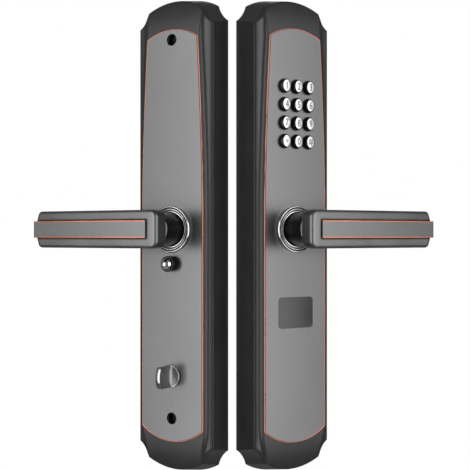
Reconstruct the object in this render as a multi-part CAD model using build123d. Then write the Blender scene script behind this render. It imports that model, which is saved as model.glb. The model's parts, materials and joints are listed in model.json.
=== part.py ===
from build123d import *
import os
from math import cos, radians, sqrt

# Keypad smart lock: the outer (keypad) unit and the inner (thumbturn) unit of one lock, side by side.
# All sizes are in millimetres. Each unit is drawn face on, then turned and set into the common frame:
#   u  across the face, towards the lever's tip        w  out from the door face        z  up
# Heights are measured from the middle of a unit. The finished frame has its origin at the outer spindle.

# ---- layout of the pair
OUTER_TURN = 33.5            # the units stand turned away from each other, in degrees
INNER_TURN = 33.0
PAIR_GAP = 5.8658            # between the two units' door faces, measured across
INNER_SPINDLE_Y = -1.2       # inner spindle in front of the outer one, on the door faces
SPINDLE_Z = 4.7              # spindle above the middle of a unit

# ---- housing, the same outline for both units
HALF_WIDTH = 34.1
SHOULDER_Z = 167.5           # where the straight side ends, on the door face
NOTCH_HALF = 25.3            # half width above the notched corner
NOTCH_RISE = 12.2            # height of the notch
NOTCH_BITE = (28.9, 4.8)     # middle of the hollow of the notch, from the shoulder
CREST_RISE = 19.0            # crest of the end arch above the shoulder
DRAFT = 0.19                 # how much the ends fall back for each millimetre out from the door
OUTER_BASE = 25.8            # depth of the base frame
INNER_BASE = 21.3
TIER = 6.7                   # from the base frame's front to the face panel's front
FRAME_WALL = 3.0
FRAME_LIP = 2.5              # the lip inside the frame that the mounting plate pulls on
LIP_DEPTH = 2.0
PLATE = 2.0                  # steel mounting plate, flush with the door face
GASKET = 1.0                 # rubber strip behind the outer frame
FIT = 0.3                    # clearance round plates, boards and windows
SEAM = 0.8                   # depth of the dark parting groove between frame and cover
SEAM_HEIGHT = 1.1
EDGE_ROUND = 0.7

# ---- front cover
COVER_SKIN = 2.5             # front wall of the cover, behind the panel
RIM = 1.9                    # cover left standing beside the panel
RIM_BELOW_PANEL = 1.0
DOME_START = 150.0           # the domed ends begin here
DOME_RADIUS = 110.0
COVE_FOOT = 2.3              # foot of the hollow side above the base frame
COVE_TURN_Z = -142.0         # where the hollow starts to run in round the bottom corner
COVE_TURN = ((0, 0), (8, 0.3), (15, 1.3), (21, 2.9), (27, 5.0), (34, 8.0), (44, 13.0))  # drop, run in
CAVITY_HALF = 21.0
CAVITY_Z = 146.0
POST_RADIUS = 4.0            # posts for the plate screws
POST_U = 16.0
POST_Z = (138.0, -130.0)
PLATE_SCREW = 1.5            # pilot radius
SCREW_LOOSE = 0.02           # the screw's shank is this much thinner than its pilot
SCREW_HEAD = 2.9
SCREW_HEAD_HEIGHT = 1.2
SCREW_LENGTH = 12.0

# ---- face panel and the line round it
PANEL = 1.2
PANEL_TOP_HALF = 23.4
PANEL_HALF = 28.3
PANEL_TOP_Z = 152.4
PANEL_WAIST_Z = 30.0         # below this the panel has its full width
PANEL_BOTTOM_Z = -149.2
PANEL_TOP_ARCH = 6.6
PANEL_BOTTOM_ARCH = 10.0
PANEL_CORNER = 1.4
LINE_WIDTH = 0.9
LINE_GROOVE = 0.45
LINE_BELOW_PANEL = 0.25

# ---- lever
NECK_RADIUS = 12.75
RUNNING = 0.05               # radial running clearance
BAR_REACH = 110.0            # tip of the inlay from the spindle
BAR_ROOT = 13.0
BAR_HALF = 14.5
BAR_FRONT = 37.0             # bar's front above the panel
BAR_THICKNESS = 13.5
BAR_ROUND = 2.6
BAR_ROOT_ROUND = 6.0
BAR_TIP_ROUND = 3.5
TIP_SLANT = 3.0
NECK_FLARE_START = 13.0      # above the panel
INLAY_HALF = 5.7
INLAY_ROOT = 3.0
INLAY_PROUD = 0.6
INLAY_WRAP = 2.0             # the inlay turns over the tip by this much
CHANNEL_DEPTH = 1.4
TRIM_HALF = 0.45             # half width of each copper line
TRIM_GAP = 0.35
CHANNEL_ROUND = 2.2          # corners of the channel's closed end
INLAY_ROUND = 0.8            # corners of the inlay's lines at that end
TAIL_STEP = 2.0              # the neck's tail, which carries the spring hub, is this much smaller

# ---- rose and bearing
ROSE_RADIUS = 18.25
ROSE_BORE = 14.9
ROSE_HEIGHT = 3.0
ROSE_ROUND = 1.1
BEARING_RADIUS = 14.3
BEARING_HEIGHT = 2.2
BEARING_ROUND = 0.6
BEARING_FLANGE = 15.6        # bearing flange inside the cover
BEARING_FLANGE_THICKNESS = 1.2
HUB_RADIUS = 17.0
HUB_THICKNESS = 3.0
CLIP_THICKNESS = 1.0
CLIP_RIM = 2.4               # how far the clip stands out beyond the neck
CLIP_GAP = 0.05              # clearance on each face of the clip
HUB_GAP = 0.3                # between the clip and the hub
HUB_LUG = (4.0, 3.4, 3.0)    # the lug on the hub's back that winds the spring
CLIP_GROOVE = 1.15           # depth of the clip's groove in the neck
SPRING_WIRE = 0.8
SPRING_CLEAR = 0.25          # between the neck's tail and the return spring's coils
SPRING_TURNS = 3
SPRING_GAP = 0.4             # between the hub and the spring
COIL_BITE = 0.02             # neighbouring coils lie this close to touching
SPRING_SEAT = 1.2            # width of the seat's rim outside and inside the coils
SPINDLE = 8.0                # square spindle
SPINDLE_OUT = 35.0           # beyond the door face
SPINDLE_IN = 20.0            # into the lever
SOCKET_CLEAR = 0.05

# ---- keypad
KEY_COLUMNS = 3
KEY_ROWS = 4
KEY_PITCH_U = 11.4
KEY_PITCH_Z = 14.13
KEY_TOP_Z = 114.7
KEY_CENTRE_U = 0.3
KEY_BASE = (9.2, 11.0)
KEY_FACE = (7.4, 9.8)
KEY_HEIGHT = 4.4
KEY_SKIRT = 1.4              # straight part of the key above the panel
KEY_CLEAR = 0.3
KEY_FLANGE = 0.7
KEY_FLANGE_THICKNESS = 1.0
KEY_TRAVEL = 1.2
MAT_GAP = 0.15
MAT = 1.0
BOARD = 1.6
KEY_NAMES = ("1", "2", "3", "4", "5", "6", "7", "8", "9", "star", "0", "hash")

# ---- card window and boards
WINDOW = (32.5, 23.6)
WINDOW_Z = -59.6
WINDOW_CORNER = 3.0
ANTENNA = (38.0, 34.0)
CONTROL_BOARD = (38.0, 46.0)
OUTER_BOARD_Z = -101.0
INNER_BOARD_Z = -66.0
BUZZER_RADIUS = 5.0
BUZZER_HEIGHT = 4.0

# ---- fixings through the door
BOLT_Z = (151.5, -141.8)
BOLT_HEAD_RADIUS = 4.6
BOLT_RADIUS = 2.75
BOLT_TUBE = 6.0
BOLT_HEAD_DEPTH = 8.0
STUD_RADIUS = 4.5
STUD_HEAD = 7.5
STUD_HEAD_HEIGHT = 2.5
STUD_THREAD = 2.1            # tapping radius of an M5 thread
STUD_OUT = 22.0              # beyond the door face

# ---- push button
BUTTON_Z = -22.1
BUTTON_CAP = 4.65            # radius of the domed cap
BUTTON_OUT = 11.0            # top of the dome above the panel
BUTTON_DOME = 3.4            # height of the dome
BUTTON_STEM = 3.0
BUTTON_KEEPER = 4.6          # ring on the stem's end that keeps the button in
KEEPER_THICKNESS = 1.5
BUTTON_TRAVEL = 3.0
BUTTON_REST = 0.6            # the cap's back is this far above the collar's floor at full travel
COLLAR_NOSE = 6.1            # collar in front of the panel
COLLAR_HEIGHT = 6.2
COLLAR_ROUND = 0.5
COLLAR_FLOOR = 1.4           # floor of the cap's bore above the panel
COLLAR_BARREL = 5.0          # threaded barrel through the panel and cover
COLLAR_BEHIND = 7.5
COLLAR_NUT = 7.0
COLLAR_NUT_THICKNESS = 2.5
BUTTON_SPRING_WIRE = 0.3
BUTTON_SPRING_COIL = 4.0
BUTTON_SPRING_TURNS = 4
BRACKET = (12.0, 10.0)       # switch bracket on the mounting plate, behind the stem

# ---- thumbturn
THUMB_Z = -108.9
THUMB_DISC = 8.9
THUMB_DISC_HEIGHT = 2.6
THUMB_BLADE = 3.9
THUMB_BLADE_OUT = 15.4       # blade in front of the disc
THUMB_CROWN = 2.6            # how much the blade's front is crowned
THUMB_ROUND = 0.5
THUMB_FIT = 0.05
THUMB_SHAFT = 5.0
THUMB_CLIP = 7.5
THUMB_CLIP_THICKNESS = 1.0
THUMB_GROOVE = 4.1           # radius of the shaft in the clip's groove
TAIL = (7.0, 2.4)
TAIL_OUT = 25.0
TAIL_SOCKET = 3.0            # the tailpiece reaches this far into the shaft
TAIL_PLATE_HOLE = 7.0

# ---- batteries
CELL_RADIUS = 7.15
CELL_LENGTH = 50.0
CELL_BETWEEN = 2.3           # between two cells side by side
CELL_Z = (49.0, 104.5)       # middle of each row of cells
CELL_CLEAR = 0.25
HOLDER_WALL = 1.6


def cover_inside(front):
    """Depth of the inner side of the cover's front wall."""
    return front - PANEL - COVER_SKIN


def flange_back(front):
    return cover_inside(front) - BEARING_FLANGE_THICKNESS


def hub_front(front):
    return flange_back(front) - CLIP_THICKNESS - HUB_GAP


def tail_end(front):
    """Depth of the back of the hub and of the lever's tail."""
    return hub_front(front) - HUB_THICKNESS


def spring_front(front):
    return tail_end(front) - SPRING_GAP


def tail_radius():
    return NECK_RADIUS - TAIL_STEP


def coil_radius():
    """Middle radius of the return spring's coils."""
    return tail_radius() + SPRING_CLEAR + SPRING_WIRE


def coil_pitch():
    return 2 * SPRING_WIRE - COIL_BITE


def spring_back(front):
    return spring_front(front) - 2 * SPRING_WIRE - (SPRING_TURNS - 1) * coil_pitch()


def face(w, u=0.0, z=0.0):
    """Plane parallel to the door face at depth w, seen from the front, with u to the right."""
    return Plane(origin=(u, -w, z), x_dir=(1, 0, 0), z_dir=(0, -1, 0))


def slab(sketch, start, end):
    """The sketch drawn on the face, as a solid between two depths."""
    return extrude(face(start) * sketch, amount=end - start)


def drum(radius, start, end, u=0.0, z=0.0):
    return extrude(face(start, u, z) * Circle(radius), amount=end - start)


def block(width, height, start, end, u=0.0, z=0.0):
    return extrude(face(start, u, z) * Rectangle(width, height), amount=end - start)


def outline(w, inset=0.0):
    """Housing outline at depth w: straight sides, hollow notched corners and an arch at each end."""
    shoulder = SHOULDER_Z - DRAFT * w
    half, notch = HALF_WIDTH, NOTCH_HALF
    corner = shoulder + NOTCH_RISE
    bite_u, bite_z = NOTCH_BITE[0], shoulder + NOTCH_BITE[1]
    crest = shoulder + CREST_RISE
    edges = [
        Line((half, -shoulder), (half, shoulder)),
        ThreePointArc((half, shoulder), (bite_u, bite_z), (notch, corner)),
        ThreePointArc((notch, corner), (0, crest), (-notch, corner)),
        ThreePointArc((-notch, corner), (-bite_u, bite_z), (-half, shoulder)),
        Line((-half, shoulder), (-half, -shoulder)),
        ThreePointArc((-half, -shoulder), (-bite_u, -bite_z), (-notch, -corner)),
        ThreePointArc((-notch, -corner), (0, -crest), (notch, -corner)),
        ThreePointArc((notch, -corner), (bite_u, -bite_z), (half, -shoulder)),
    ]
    shape = make_face(Curve() + edges)
    return offset(shape, -inset, kind=Kind.INTERSECTION) if inset else shape


def housing_block(start, end, inset=0.0):
    """Solid inside the housing outline between two depths, with the ends' draft."""
    return loft([face(start) * outline(start, inset), face(end) * outline(end, inset)], ruled=True)


def panel_half(z):
    """Half width of the face panel at a height: it narrows towards its top."""
    rise = max(z - PANEL_WAIST_Z, 0.0) / (PANEL_TOP_Z - PANEL_WAIST_Z)
    return PANEL_HALF - (PANEL_HALF - PANEL_TOP_HALF) * rise ** 1.5


def panel_sketch(grow=0.0):
    """Face panel outline, grown evenly by a margin."""
    top, bottom, half = PANEL_TOP_Z + grow, PANEL_BOTTOM_Z - grow, PANEL_HALF + grow
    steps = [PANEL_WAIST_Z + (top - PANEL_WAIST_Z) * i / 4 for i in range(5)]
    right = [(panel_half(z) + grow, z) for z in steps]
    left = [(-u, z) for u, z in reversed(right)]
    edges = [
        Line((half, bottom), right[0]),
        Spline(*right),
        ThreePointArc(right[-1], (0, top + PANEL_TOP_ARCH), left[0]),
        Spline(*left),
        Line(left[-1], (-half, bottom)),
        ThreePointArc((-half, bottom), (0, bottom - PANEL_BOTTOM_ARCH), (half, bottom)),
    ]
    shape = make_face(Curve() + edges)
    corners = [v for v in shape.vertices() if v.Y > top - 1 or v.Y < bottom + 1]
    return fillet(corners, PANEL_CORNER + grow)


def cove_section(side, wall, foot, top, z):
    """Cross-section of the hollow cut along a side of the cover, at one height."""
    reach = HALF_WIDTH + 12
    lip = HALF_WIDTH - 0.2
    above = top + 4
    points = [(wall, top), (wall, foot - 0.6), (lip, foot), (reach, foot), (reach, above), (wall, above)]
    at = [Vector(side * u, -w, z) for u, w in points]
    edges = [Edge.make_bezier(at[0], at[1], at[2])]
    edges += [Edge.make_line(a, b) for a, b in zip(at[2:], at[3:] + at[:1])]
    return Wire(edges)


def side_cove(side, base):
    """The hollow along one side: it follows the waist and runs in round the bottom corner."""
    foot = base + COVE_FOOT
    top = base + TIER - RIM_BELOW_PANEL
    full = PANEL_HALF + RIM
    waist_top = 150.0
    waist = [(waist_top + (PANEL_WAIST_Z - waist_top) * i / 5) for i in range(6)]
    narrow = [(210.0, NOTCH_HALF), (waist_top, NOTCH_HALF)]
    curved = [(waist_top, NOTCH_HALF)] + [(z, panel_half(z) + RIM) for z in waist[1:]]
    straight = [(PANEL_WAIST_Z, full), (COVE_TURN_Z, full)]
    turned = [(COVE_TURN_Z - drop, full - run) for drop, run in COVE_TURN]
    body = None
    for stretch, flat in ((narrow, True), (curved, False), (straight, True), (turned, False)):
        wires = [cove_section(side, u, foot, top, z) for z, u in stretch]
        piece = Solid.make_loft(wires, ruled=flat)
        body = piece if body is None else body + piece
    return body


def dome(base):
    """Everything behind the cover's front surface, which is flat with two domed ends."""
    rim = base + TIER - RIM_BELOW_PANEL
    reach = 45.0

    def fall(run):
        return DOME_RADIUS - sqrt(DOME_RADIUS ** 2 - run ** 2)

    def at(run, end):
        return (0, -(rim - fall(run)), end * (DOME_START + run))

    edges = [
        ThreePointArc(at(reach, -1), at(reach / 2, -1), at(0, -1)),
        Line(at(0, -1), at(0, 1)),
        ThreePointArc(at(0, 1), at(reach / 2, 1), at(reach, 1)),
        Line(at(reach, 1), (0, 5, DOME_START + reach)),
        Line((0, 5, DOME_START + reach), (0, 5, -DOME_START - reach)),
        Line((0, 5, -DOME_START - reach), at(reach, -1)),
    ]
    profile = make_face(Curve() + edges)
    return extrude(profile, amount=HALF_WIDTH + 10, dir=(1, 0, 0), both=True)


def base_frame(base, start):
    """Deep die-cast frame, open at the back and front, with a lip for the mounting plate."""
    body = housing_block(start, base)
    body = fillet(body.faces().sort_by(Axis.Y)[0].edges(), EDGE_ROUND)
    body -= housing_block(start - 1, PLATE, FRAME_WALL)
    body -= housing_block(PLATE, PLATE + LIP_DEPTH, FRAME_WALL + FRAME_LIP)
    body -= housing_block(PLATE + LIP_DEPTH, base + 1, FRAME_WALL)
    return body


def post_spots():
    return [(u, z) for u in (-POST_U, POST_U) for z in POST_Z]


def front_cover(base):
    """Cast cover: waisted raised tier, hollow sides, domed ends and a recess for the panel."""
    panel_front = base + TIER
    panel_back = panel_front - PANEL
    inside = panel_back - COVER_SKIN
    body = housing_block(base, panel_front) & dome(base)
    ends = [edge for edge in body.edges() if edge.bounding_box().max.Y < -base - 0.5]
    body = fillet(ends, EDGE_ROUND)
    seam = slab(Rectangle(2 * HALF_WIDTH + 4, 2 * SHOULDER_Z - 16), base, base + SEAM_HEIGHT)
    seam -= slab(Rectangle(2 * (HALF_WIDTH - SEAM), 2 * SHOULDER_Z - 14), base, base + SEAM_HEIGHT)
    body -= seam
    body -= side_cove(1, base) + side_cove(-1, base)
    body -= slab(panel_sketch(LINE_WIDTH + LINE_GROOVE), panel_back, panel_front + 1)
    body -= block(2 * CAVITY_HALF, 2 * CAVITY_Z, base - 1, inside)
    for u, z in post_spots():
        body += drum(POST_RADIUS, PLATE, inside + 0.5, u, z)
        body -= drum(PLATE_SCREW, PLATE - 1, PLATE + SCREW_LENGTH, u, z)
    body -= drum(BEARING_RADIUS + RUNNING, base - 1, panel_front, z=SPINDLE_Z)
    return body


def mounting_plate(front, spots, radius):
    """Steel plate inside the frame; it clamps the frame to the cover and carries the return spring."""
    body = housing_block(0, PLATE, FRAME_WALL + FIT)
    rim = SPRING_WIRE + SPRING_SEAT
    body += drum(coil_radius() + rim, PLATE - 0.5, spring_back(front) - CLIP_GAP, z=SPINDLE_Z)
    body -= drum(coil_radius() - rim, -1, front, z=SPINDLE_Z)
    for z in spots:
        body -= drum(radius, -1, PLATE + 1, z=z)
    for u, z in post_spots():
        body -= drum(PLATE_SCREW + FIT, -1, PLATE + 1, u, z)
        body -= drum(SCREW_HEAD + FIT, -1, SCREW_HEAD_HEIGHT, u, z)
    return body


def plate_screws():
    """The four screws that hold the plate to the cover's posts."""
    screws = []
    for u, z in post_spots():
        head = drum(SCREW_HEAD, 0.1, SCREW_HEAD_HEIGHT, u, z)
        tip = PLATE + SCREW_LENGTH - 1
        screws.append(head + drum(PLATE_SCREW - SCREW_LOOSE, SCREW_HEAD_HEIGHT, tip, u, z))
    return Compound(screws)


def panel_line(front):
    """Copper-coloured line laid in the recess round the panel, chamfered on its outer edge."""
    ring = panel_sketch(LINE_WIDTH) - panel_sketch(0.0)
    return slab(ring, front - PANEL, front - LINE_BELOW_PANEL)


def rose(front):
    """Chromed ring on the face of the panel."""
    body = drum(ROSE_RADIUS, front, front + ROSE_HEIGHT, z=SPINDLE_Z)
    body = fillet(body.edges().filter_by(GeomType.CIRCLE).sort_by(Axis.Y)[0], ROSE_ROUND)
    return body - drum(ROSE_BORE, front - 1, front + ROSE_HEIGHT + 1, z=SPINDLE_Z)


def bearing(front):
    """Flanged bearing bush that the lever's neck turns in; its flange seats behind the cover."""
    inside = cover_inside(front)
    body = drum(BEARING_RADIUS, inside, front + BEARING_HEIGHT, z=SPINDLE_Z)
    body = fillet(body.edges().filter_by(GeomType.CIRCLE).sort_by(Axis.Y)[0], BEARING_ROUND)
    body += drum(BEARING_FLANGE, flange_back(front), inside, z=SPINDLE_Z)
    bore = drum(NECK_RADIUS + RUNNING, flange_back(front) - 1, front + BEARING_HEIGHT + 1, z=SPINDLE_Z)
    return body - bore


def bar_sketch():
    """Lever bar seen from the front: rounded root, tip slanted back above and below the inlay."""
    tip = BAR_REACH - INLAY_WRAP
    shape = make_face(Polyline(
        (-BAR_ROOT, -BAR_HALF), (tip - TIP_SLANT, -BAR_HALF), (tip, -INLAY_HALF), (tip, INLAY_HALF),
        (tip - TIP_SLANT, BAR_HALF), (-BAR_ROOT, BAR_HALF), (-BAR_ROOT, -BAR_HALF)))
    root = [v for v in shape.vertices() if v.X < 0]
    shape = fillet(root, BAR_ROOT_ROUND)
    ends = [v for v in shape.vertices() if v.X > tip - TIP_SLANT - 1 and abs(v.Y) > INLAY_HALF + 1]
    return fillet(ends, BAR_TIP_ROUND)


def channel_half():
    return INLAY_HALF + 2 * TRIM_HALF + TRIM_GAP


def lever(front):
    """Lever: round neck, flared into a flat bar with a channel for the inlay along its front."""
    inside = cover_inside(front)
    bar_front = front + BAR_FRONT
    bar_back = bar_front - BAR_THICKNESS
    bar = extrude(face(bar_back, z=SPINDLE_Z) * bar_sketch(), amount=BAR_THICKNESS)
    rounded = bar.faces().sort_by(Axis.Y)[0].edges() + bar.faces().sort_by(Axis.Y)[-1].edges()
    bar = fillet(rounded, BAR_ROUND)
    tail = tail_end(front)
    neck_end = flange_back(front) - CLIP_THICKNESS - 4 * CLIP_GAP
    neck = drum(NECK_RADIUS, neck_end, bar_back + BAR_ROUND, z=SPINDLE_Z)
    neck += drum(tail_radius(), tail, inside, z=SPINDLE_Z)
    flare = loft([
        face(front + NECK_FLARE_START, z=SPINDLE_Z) * Circle(NECK_RADIUS - 0.02),
        face(bar_back + 0.6, z=SPINDLE_Z) * Circle(BAR_HALF - 0.9),
    ])
    body = bar + neck + flare
    clip_front = flange_back(front) - CLIP_GAP
    groove = drum(NECK_RADIUS + 1, clip_front - CLIP_THICKNESS, clip_front, z=SPINDLE_Z)
    body -= groove - drum(NECK_RADIUS - CLIP_GROOVE, tail - 1, inside, z=SPINDLE_Z)
    body -= channel(bar_front)
    side = SPINDLE + 2 * SOCKET_CLEAR
    return body - block(side, side, tail - 1, tail + SPINDLE_IN + 1, z=SPINDLE_Z)


def channel(bar_front):
    """The channel's space: closed and rounded at the root, open over the tip."""
    start, end = -INLAY_ROOT - TRIM_GAP, BAR_REACH + 20
    space = block(end - start, 2 * channel_half(), bar_front - CHANNEL_DEPTH, bar_front + 5,
                  u=(start + end) / 2, z=SPINDLE_Z)
    closed = space.edges().filter_by(Axis.Y).filter_by_position(Axis.X, start - 0.01, start + 0.01)
    return fillet(closed, CHANNEL_ROUND)


def strip(front, half_low, half_high, root):
    """A bar along the lever's channel that turns down over the tip."""
    bar_front = front + BAR_FRONT
    floor = bar_front - CHANNEL_DEPTH
    top = bar_front + INLAY_PROUD
    tip_inner = BAR_REACH - INLAY_WRAP + 0.05
    deep = bar_front - BAR_THICKNESS + 2.5
    middle, height = (half_low + half_high) / 2, half_high - half_low
    body = block(BAR_REACH + root, height, floor, top, u=(BAR_REACH - root) / 2, z=SPINDLE_Z + middle)
    tail = block(BAR_REACH - tip_inner, height, deep, floor, u=(BAR_REACH + tip_inner) / 2,
                 z=SPINDLE_Z + middle)
    body += tail
    corner = body.edges().filter_by(Axis.Z).filter_by_position(Axis.X, BAR_REACH - 0.01, BAR_REACH + 0.01)
    return fillet(corner, 1.6)


def lever_inlay(front):
    return strip(front, -INLAY_HALF, INLAY_HALF, INLAY_ROOT)


def lever_lines(front):
    """The two copper-coloured lines along the inlay, each rounded at its outer root corner."""
    lines = []
    for side in (1, -1):
        low, high = sorted((side * INLAY_HALF, side * (INLAY_HALF + 2 * TRIM_HALF)))
        line = strip(front, low, high, INLAY_ROOT)
        upright = line.edges().filter_by(Axis.Y)
        root = upright.filter_by_position(Axis.X, -INLAY_ROOT - 0.01, -INLAY_ROOT + 0.01)
        lines.append(fillet(root.sort_by(Axis.Z)[-1 if side > 0 else 0], INLAY_ROUND))
    return Compound(lines)


def retaining_ring(front):
    """Open spring ring in the neck's groove, behind the bearing flange."""
    back = flange_back(front)
    radius = NECK_RADIUS + CLIP_RIM
    body = drum(radius, back - CLIP_THICKNESS + CLIP_GAP, back - 2 * CLIP_GAP, z=SPINDLE_Z)
    body -= drum(NECK_RADIUS - CLIP_GROOVE + CLIP_GAP, back - 3, back + 1, z=SPINDLE_Z)
    return body - block(6, 12, back - 3, back + 1, z=SPINDLE_Z - NECK_RADIUS - 4)


def hub(front):
    """Hub plate keyed on the neck's tail, with the lug that winds the return spring."""
    top, back = hub_front(front), tail_end(front)
    body = drum(HUB_RADIUS, back, top, z=SPINDLE_Z)
    body -= drum(tail_radius() + SOCKET_CLEAR, back - 1, top + 1, z=SPINDLE_Z)
    wide, tall, long = HUB_LUG
    return body + block(wide, tall, back - long, back, u=HUB_RADIUS - wide / 2, z=SPINDLE_Z)


def return_spring(front):
    """Wound torsion spring lying behind the hub, inside the hub's lug."""
    body = None
    for turn in range(SPRING_TURNS):
        depth = spring_front(front) - SPRING_WIRE - turn * coil_pitch()
        plane = Plane(origin=(0, -depth, SPINDLE_Z), z_dir=(0, -1, 0))
        ring = Solid.make_torus(coil_radius(), SPRING_WIRE, plane)
        body = ring if body is None else body + ring
    return body


def spindle(front):
    """Square steel spindle: it fills the outer lever's socket and crosses the door."""
    return block(SPINDLE, SPINDLE, -SPINDLE_OUT, tail_end(front) + SPINDLE_IN, z=SPINDLE_Z)


def key_spots():
    spots = []
    for row in range(KEY_ROWS):
        for column in range(KEY_COLUMNS):
            u = KEY_CENTRE_U + (column - (KEY_COLUMNS - 1) / 2) * KEY_PITCH_U
            spots.append((u, KEY_TOP_Z - row * KEY_PITCH_Z))
    return spots


def key(front, u, z):
    """One key: oval skirt, narrower crowned face, and a flange behind the panel."""
    back = front - PANEL
    skirt = Ellipse(KEY_BASE[0] / 2, KEY_BASE[1] / 2)
    crown = Ellipse(KEY_FACE[0] / 2, KEY_FACE[1] / 2)
    flange = Ellipse(KEY_BASE[0] / 2 + KEY_FLANGE, KEY_BASE[1] / 2 + KEY_FLANGE)
    body = extrude(face(back, u, z) * skirt, amount=PANEL + KEY_SKIRT)
    body += loft([face(front + KEY_SKIRT, u, z) * skirt, face(front + KEY_HEIGHT, u, z) * crown])
    body += extrude(face(back - KEY_FLANGE_THICKNESS, u, z) * flange, amount=KEY_FLANGE_THICKNESS)
    return body


def key_hole(front, u, z):
    clear = Ellipse(KEY_BASE[0] / 2 + KEY_CLEAR, KEY_BASE[1] / 2 + KEY_CLEAR)
    return extrude(face(front - PANEL - 1, u, z) * clear, amount=PANEL + 2)


def keypad_size(margin):
    width = (KEY_COLUMNS - 1) * KEY_PITCH_U + KEY_BASE[0] + 2 * KEY_FLANGE + 2 * margin
    height = (KEY_ROWS - 1) * KEY_PITCH_Z + KEY_BASE[1] + 2 * KEY_FLANGE + 2 * margin
    middle = KEY_TOP_Z - (KEY_ROWS - 1) * KEY_PITCH_Z / 2
    return width, height, middle


def keypad_mat(front):
    """Silicone mat behind the keys, clamped between the cover and the keypad board."""
    width, height, middle = keypad_size(2.0)
    top = cover_inside(front)
    body = block(width, height, top - MAT, top, u=KEY_CENTRE_U, z=middle)
    raised = top + COVER_SKIN - KEY_FLANGE_THICKNESS - KEY_TRAVEL - MAT_GAP
    for u, z in key_spots():
        pad = Ellipse(KEY_BASE[0] / 2 - 1, KEY_BASE[1] / 2 - 1)
        body += extrude(face(top - 0.1, u, z) * pad, amount=raised - top + 0.1)
    return body


def keypad_board(front):
    """Keypad circuit board with its driver chip and plug socket."""
    width, height, middle = keypad_size(2.0)
    top = cover_inside(front) - MAT
    body = block(width, height, top - BOARD, top, u=KEY_CENTRE_U, z=middle)
    body += block(7, 7, top - BOARD - 1.2, top - BOARD, u=KEY_CENTRE_U, z=middle + 8)
    return body + block(12, 5, top - BOARD - 4, top - BOARD, u=KEY_CENTRE_U, z=middle - height / 2 + 5)


def card_window(front):
    """Window flush with the panel that the card is held to."""
    shape = Pos(0, WINDOW_Z) * RectangleRounded(WINDOW[0], WINDOW[1], WINDOW_CORNER)
    return slab(shape, front - PANEL, front + 0.2)


def window_hole(front, grow):
    shape = Pos(0, WINDOW_Z) * RectangleRounded(WINDOW[0] + 2 * grow, WINDOW[1] + 2 * grow, WINDOW_CORNER)
    return slab(shape, cover_inside(front) - 1, front + 1)


def antenna_board(front):
    """Card reader board with its flat coil round the edge, behind the window."""
    top = cover_inside(front)
    body = block(ANTENNA[0], ANTENNA[1], top - BOARD, top, z=WINDOW_Z)
    coil = Rectangle(ANTENNA[0] - 3, ANTENNA[1] - 3) - Rectangle(ANTENNA[0] - 9, ANTENNA[1] - 9)
    body += slab(Pos(0, WINDOW_Z) * coil, top - BOARD - 0.4, top - BOARD)
    return body + block(8, 8, top - BOARD - 1.2, top - BOARD, z=WINDOW_Z)


def control_board(top, z):
    """Main board: processor, supply block, buzzer and plug sockets on its back."""
    body = block(CONTROL_BOARD[0], CONTROL_BOARD[1], top - BOARD, top, z=z)
    back = top - BOARD
    body += block(10, 10, back - 1.4, back, u=-8, z=z + 10)
    body += block(8, 12, back - 3.5, back, u=10, z=z + 12)
    body += drum(BUZZER_RADIUS, back - BUZZER_HEIGHT, back, u=-8, z=z - 6)
    for step in range(3):
        body += block(9, 5, back - 5, back, u=-11 + 11 * step, z=z - CONTROL_BOARD[1] / 2 + 4)
    return body


def board_posts(top, z, inside):
    """Moulded legs that stand a control board off the cover's front wall."""
    posts = []
    for u in (-1, 1):
        for v in (-1, 1):
            spot = (u * (CONTROL_BOARD[0] / 2 - 3), z + v * (CONTROL_BOARD[1] / 2 - 10))
            posts.append(drum(2.4, top, inside, *spot))
    return Compound(posts)


def threaded_studs():
    """Threaded posts that the through bolts from the room side screw into."""
    studs = []
    for z in BOLT_Z:
        stud = drum(STUD_RADIUS, -STUD_OUT, PLATE, z=z)
        stud += drum(STUD_HEAD, PLATE, PLATE + STUD_HEAD_HEIGHT, z=z)
        studs.append(stud - drum(STUD_THREAD, -STUD_OUT - 1, PLATE + 2, z=z))
    return Compound(studs)


def bolt_tube(front, z):
    """Tube in the inner cover that carries a through bolt, from the panel to the plate."""
    return drum(BOLT_TUBE, PLATE, front - PANEL - 0.5, z=z)


def bolt_hole(front, z):
    head = drum(BOLT_HEAD_RADIUS, front - BOLT_HEAD_DEPTH, front + 1, z=z)
    return head + drum(BOLT_RADIUS, -1, front, z=z)


def door_gasket():
    """Rubber strip between the outer frame and the door."""
    ring = outline(0, 0.4) - outline(0, FRAME_WALL - 0.2)
    return slab(ring, 0, GASKET)


def button_collar(front):
    """Collar that guides the push button, held by a nut behind the cover."""
    inside = cover_inside(front)
    body = drum(COLLAR_NOSE, front, front + COLLAR_HEIGHT, z=BUTTON_Z)
    body = fillet(body.edges().filter_by(GeomType.CIRCLE).sort_by(Axis.Y)[0], COLLAR_ROUND)
    body += drum(COLLAR_BARREL, inside - COLLAR_BEHIND, front, z=BUTTON_Z)
    body += drum(COLLAR_NUT, inside - COLLAR_NUT_THICKNESS, inside, z=BUTTON_Z)
    body -= drum(BUTTON_CAP + RUNNING, front + COLLAR_FLOOR, front + COLLAR_HEIGHT + 1, z=BUTTON_Z)
    return body - drum(BUTTON_STEM + RUNNING, inside - COLLAR_BEHIND - 1, front + COLLAR_HEIGHT, z=BUTTON_Z)


def keeper_back(front):
    return cover_inside(front) - COLLAR_BEHIND - KEEPER_THICKNESS


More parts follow.
